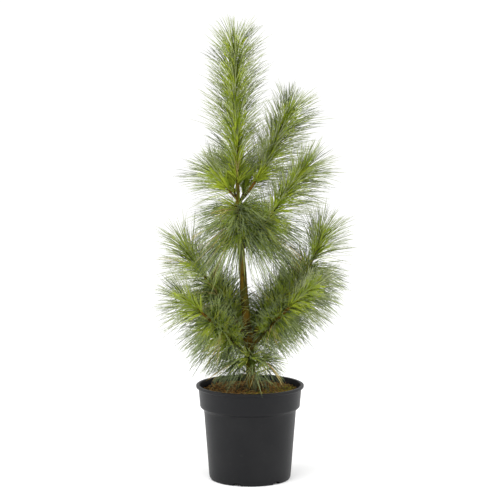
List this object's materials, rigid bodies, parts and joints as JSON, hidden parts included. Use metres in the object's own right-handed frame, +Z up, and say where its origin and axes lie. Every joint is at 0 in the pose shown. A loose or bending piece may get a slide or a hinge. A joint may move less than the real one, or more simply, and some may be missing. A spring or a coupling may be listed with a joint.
{
  "type": "potted stone pine",
  "caption": "Young five-needled pine with an upright leader and tufted side shoots, growing in soil in a round tapered nursery pot.",
  "frame": {"origin": "centre of the pot's flat underside, on the floor", "axes": "+Z up along the pot's axis, -Y towards the front of the picture, +X to the right seen from the front"},
  "size_m": [0.3624, 0.2623, 0.8176],
  "materials": {
    "pot": "fine matt texture, softly rubbed",
    "soil": "moist fibrous compost",
    "bark": "rough young bark",
    "fresh_needles": "waxy needles of the last season",
    "old_needles": "waxy older needles"
  },
  "bodies": {
    "root": {"bough_back": "bark", "bough_back_left": "bark", "bough_back_right": "bark", "bough_foot_front": "bark", "bough_foot_left": "bark", "bough_foot_right": "bark", "bough_left_lower": "bark", "bough_left_lower_outer": "bark", "bough_left_upper": "bark", "bough_left_upper_outer": "bark", "bough_middle_right": "bark", "bough_right_lower": "bark", "bough_right_lower_outer": "bark", "bough_right_upper": "bark", "bough_right_upper_outer": "bark", "bough_top_back": "bark", "bough_top_back_left": "bark", "bough_top_left": "bark", "bough_top_right": "bark", "needles_back": "old_needles", "needles_back_left_fresh": "fresh_needles", "needles_back_left_old": "old_needles", "needles_back_right_fresh": "fresh_needles", "needles_back_right_old": "old_needles", "needles_foot_front": "old_needles", "needles_foot_left": "old_needles", "needles_foot_right": "old_needles", "needles_leader": "fresh_needles", "needles_left_lower_fresh": "fresh_needles", "needles_left_lower_old": "old_needles", "needles_left_upper_fresh": "fresh_needles", "needles_left_upper_old": "old_needles", "needles_middle_right_fresh": "fresh_needles", "needles_middle_right_old": "old_needles", "needles_right_lower_fresh": "fresh_needles", "needles_right_lower_old": "old_needles", "needles_right_upper_fresh": "fresh_needles", "needles_right_upper_old": "old_needles", "needles_top_back": "fresh_needles", "needles_top_back_left": "fresh_needles", "needles_top_left": "fresh_needles", "needles_top_right": "fresh_needles", "needles_trunk_foot": "old_needles", "needles_trunk_skirt": "old_needles", "pot": "pot", "soil": "soil", "trunk": "bark"}
  },
  "joints": []
}
